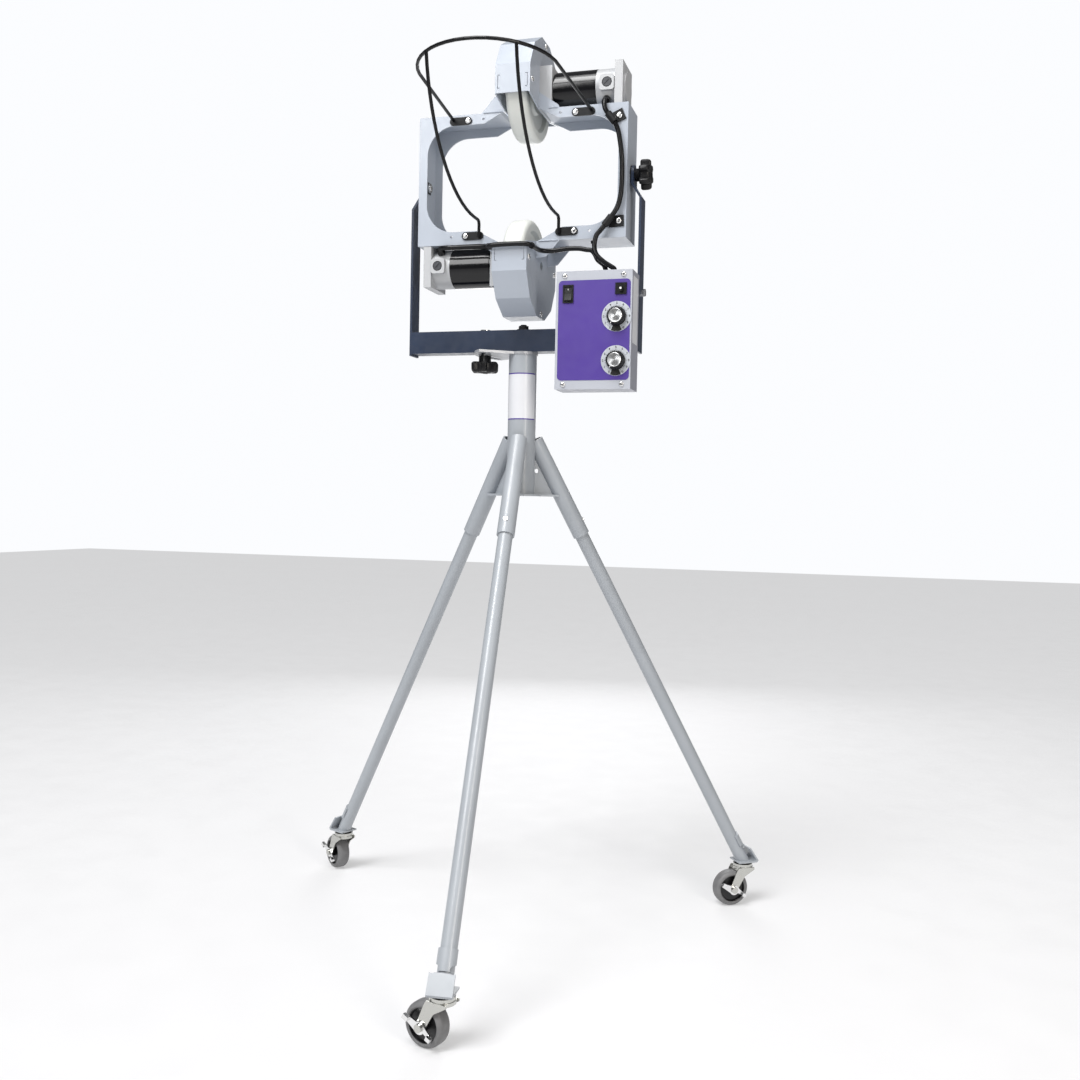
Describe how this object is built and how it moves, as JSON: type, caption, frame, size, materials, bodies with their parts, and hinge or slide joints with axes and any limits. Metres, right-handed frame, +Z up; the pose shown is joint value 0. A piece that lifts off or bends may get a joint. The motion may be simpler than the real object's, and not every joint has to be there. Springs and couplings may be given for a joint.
{
  "type": "two-wheel ball throwing machine",
  "caption": "Over and under wheel ball throwing machine on a wheeled tripod, with a tilting head, wire ball guide and control box.",
  "frame": {"origin": "on the floor, on the axis of the post", "axes": "+Z up, +Y the way the ball is thrown, +X to the operator's right"},
  "size_m": [1.0296, 0.9142, 1.806],
  "materials": {
    "post": "light blue-grey powder coat",
    "leg_sleeves": "light blue-grey powder coat",
    "hub_plate": "light blue-grey powder coat",
    "leg_front": "light blue-grey powder coat",
    "leg_right": "light blue-grey powder coat",
    "leg_left": "light blue-grey powder coat",
    "foot_brackets": "light blue-grey powder coat",
    "head_frame": "light blue-grey powder coat",
    "guard_gussets": "light blue-grey powder coat",
    "upper_guard": "light blue-grey powder coat",
    "lower_guard": "light blue-grey powder coat",
    "yoke_bar": "black powder coat",
    "yoke_arms": "black powder coat",
    "swivel_plate": "light grey",
    "motor_brackets": "light grey",
    "motor_endbells": "light grey",
    "box_lid": "light grey",
    "control_box": "grey enamel",
    "motor_cans": "black gloss enamel",
    "guide_hoop": "black coated wire",
    "guide_rods": "black coated wire",
    "swivel_bolt": "zinc plated",
    "yoke_bolts": "zinc plated",
    "head_screws": "zinc plated",
    "box_screws": "zinc plated",
    "caster_races": "zinc plated",
    "caster_fork_front": "zinc plated",
    "caster_fork_right": "zinc plated",
    "caster_fork_left": "zinc plated",
    "caster_brake_front": "zinc plated",
    "caster_brake_right": "zinc plated",
    "caster_brake_left": "zinc plated",
    "snap_springs": "zinc plated",
    "snap_button_front": "zinc plated",
    "snap_button_right": "zinc plated",
    "snap_button_left": "zinc plated",
    "dial_plates": "satin",
    "potentiometers": "satin",
    "motor_magnets": "dark magnet",
    "upper_armature": "copper wound core on a steel shaft",
    "lower_armature": "copper wound core on a steel shaft",
    "upper_throwing_wheel": "natural white urethane",
    "lower_throwing_wheel": "natural white urethane",
    "caster_wheel_front": "grey rubber tread on a black hub",
    "caster_wheel_right": "grey rubber tread on a black hub",
    "caster_wheel_left": "grey rubber tread on a black hub",
    "head_leads": "black rubber",
    "flex_leads": "black rubber",
    "head_clips": "black rubber",
    "cable_glands": "black rubber",
    "pivot_washers": "black rubber",
    "swivel_knob": "black moulded plastic",
    "tilt_knob": "black moulded plastic",
    "upper_dial": "black moulded plastic",
    "lower_dial": "black moulded plastic",
    "switch_housings": "black moulded plastic",
    "switch_rocker": "black moulded plastic",
    "breaker_button": "black moulded plastic",
    "panel_overlay": "purple printed film, lettering left out",
    "control_board": "green circuit board"
  },
  "bodies": {
    "tripod": {"post": "post", "leg_sleeves": "leg_sleeves", "hub_plate": "hub_plate", "swivel_plate": "swivel_plate", "swivel_bolt": "swivel_bolt", "leg_front": "leg_front", "leg_right": "leg_right", "leg_left": "leg_left", "foot_brackets": "foot_brackets", "caster_races": "caster_races", "snap_springs": "snap_springs"},
    "yoke": {"yoke_bar": "yoke_bar", "yoke_arms": "yoke_arms", "yoke_bolts": "yoke_bolts", "pivot_washers": "pivot_washers", "control_box": "control_box", "cable_glands": "cable_glands", "box_lid": "box_lid", "box_screws": "box_screws", "panel_overlay": "panel_overlay", "dial_plates": "dial_plates", "switch_housings": "switch_housings", "potentiometers": "potentiometers", "control_board": "control_board", "flex_leads": "flex_leads"},
    "head": {"head_frame": "head_frame", "guard_gussets": "guard_gussets", "upper_guard": "upper_guard", "lower_guard": "lower_guard", "motor_brackets": "motor_brackets", "motor_cans": "motor_cans", "motor_magnets": "motor_magnets", "motor_endbells": "motor_endbells", "guide_hoop": "guide_hoop", "guide_rods": "guide_rods", "head_clips": "head_clips", "head_screws": "head_screws", "head_leads": "head_leads"},
    "upper_wheel": {"upper_throwing_wheel": "upper_throwing_wheel", "upper_armature": "upper_armature"},
    "lower_wheel": {"lower_throwing_wheel": "lower_throwing_wheel", "lower_armature": "lower_armature"},
    "swivel_knob": {"swivel_knob": "swivel_knob"},
    "tilt_knob": {"tilt_knob": "tilt_knob"},
    "upper_dial": {"upper_dial": "upper_dial"},
    "lower_dial": {"lower_dial": "lower_dial"},
    "rocker": {"switch_rocker": "switch_rocker"},
    "breaker": {"breaker_button": "breaker_button"},
    "caster_front": {"caster_fork_front": "caster_fork_front"},
    "wheel_front": {"caster_wheel_front": "caster_wheel_front"},
    "brake_front": {"caster_brake_front": "caster_brake_front"},
    "snap_front": {"snap_button_front": "snap_button_front"},
    "caster_right": {"caster_fork_right": "caster_fork_right"},
    "wheel_right": {"caster_wheel_right": "caster_wheel_right"},
    "brake_right": {"caster_brake_right": "caster_brake_right"},
    "snap_right": {"snap_button_right": "snap_button_right"},
    "caster_left": {"caster_fork_left": "caster_fork_left"},
    "wheel_left": {"caster_wheel_left": "caster_wheel_left"},
    "brake_left": {"caster_brake_left": "caster_brake_left"},
    "snap_left": {"snap_button_left": "snap_button_left"}
  },
  "joints": [
    {"name": "yoke_swivel", "type": "hinge", "parent": "tripod", "child": "yoke", "pos_m": [0, 0, 1.2], "axis": [0, 0, 1], "range_deg": [-35, 35]},
    {"name": "head_tilt", "type": "hinge", "parent": "yoke", "child": "head", "pos_m": [0, 0, 1.53], "axis": [1, 0, 0], "range_deg": [-20, 60], "deforming": ["flex_leads"]},
    {"name": "swivel_knob_turn", "type": "hinge", "parent": "yoke", "child": "swivel_knob", "pos_m": [-0.082, 0, 1.16], "axis": [0, 0, 1], "range_deg": [-360, 0]},
    {"name": "tilt_knob_turn", "type": "hinge", "parent": "yoke", "child": "tilt_knob", "pos_m": [0.24, 0, 1.53], "axis": [1, 0, 0], "range_deg": [-360, 0]},
    {"name": "upper_wheel_spin", "type": "hinge", "parent": "head", "child": "upper_wheel", "pos_m": [0, 0, 1.701], "axis": [1, 0, 0], "continuous": true},
    {"name": "lower_wheel_spin", "type": "hinge", "parent": "head", "child": "lower_wheel", "pos_m": [0, 0, 1.359], "axis": [1, 0, 0], "continuous": true},
    {"name": "upper_dial_turn", "type": "hinge", "parent": "yoke", "child": "upper_dial", "pos_m": [0.213, -0.09, 1.239], "axis": [0, 1, 0], "range_deg": [0, 300]},
    {"name": "lower_dial_turn", "type": "hinge", "parent": "yoke", "child": "lower_dial", "pos_m": [0.213, -0.09, 1.155], "axis": [0, 1, 0], "range_deg": [0, 300]},
    {"name": "rocker_tilt", "type": "hinge", "parent": "yoke", "child": "rocker", "pos_m": [0.1165, -0.087, 1.284], "axis": [1, 0, 0], "range_deg": [0, 14]},
    {"name": "breaker_press", "type": "slide", "parent": "yoke", "child": "breaker", "axis": [0, 1, 0], "range_m": [0, 0.003], "stiffness_N_per_m": 400},
    {"name": "caster_front_swivel", "type": "hinge", "parent": "tripod", "child": "caster_front", "pos_m": [0.05447, -0.53624, 0.08], "axis": [0, 0, 1], "continuous": true},
    {"name": "caster_front_roll", "type": "hinge", "parent": "caster_front", "child": "wheel_front", "pos_m": [0.02563, -0.52797, 0.0381], "axis": [-0.2756, -0.9613, 0], "continuous": true},
    {"name": "caster_front_brake", "type": "hinge", "parent": "caster_front", "child": "brake_front", "pos_m": [0.02563, -0.52797, 0.0381], "axis": [-0.2756, -0.9613, 0], "range_deg": [0, 20]},
    {"name": "leg_front_button", "type": "slide", "parent": "tripod", "child": "snap_front", "axis": [-0.0882, 0.8684, -0.488], "range_m": [0, 0.0063], "stiffness_N_per_m": 600},
    {"name": "caster_right_swivel", "type": "hinge", "parent": "tripod", "child": "caster_right", "pos_m": [0.43716, 0.31529, 0.08], "axis": [0, 0, 1], "continuous": true},
    {"name": "caster_right_roll", "type": "hinge", "parent": "caster_right", "child": "wheel_right", "pos_m": [0.412, 0.29895, 0.0381], "axis": [0.5446, -0.8387, 0], "continuous": true},
    {"name": "caster_right_brake", "type": "hinge", "parent": "caster_right", "child": "brake_right", "pos_m": [0.412, 0.29895, 0.0381], "axis": [0.5446, -0.8387, 0], "range_deg": [0, 20]},
    {"name": "leg_right_button", "type": "slide", "parent": "tripod", "child": "snap_right", "axis": [-0.7079, -0.5106, -0.488], "range_m": [0, 0.0063], "stiffness_N_per_m": 600},
    {"name": "caster_left_swivel", "type": "hinge", "parent": "tripod", "child": "caster_left", "pos_m": [-0.49163, 0.22095, 0.08], "axis": [0, 0, 1], "continuous": true},
    {"name": "caster_left_roll", "type": "hinge", "parent": "caster_left", "child": "wheel_left", "pos_m": [-0.51527, 0.23942, 0.0381], "axis": [-0.6157, -0.788, 0], "continuous": true},
    {"name": "caster_left_brake", "type": "hinge", "parent": "caster_left", "child": "brake_left", "pos_m": [-0.51527, 0.23942, 0.0381], "axis": [-0.6157, -0.788, 0], "range_deg": [0, 20]},
    {"name": "leg_left_button", "type": "slide", "parent": "tripod", "child": "snap_left", "axis": [0.7961, -0.3578, -0.488], "range_m": [0, 0.0063], "stiffness_N_per_m": 600}
  ]
}
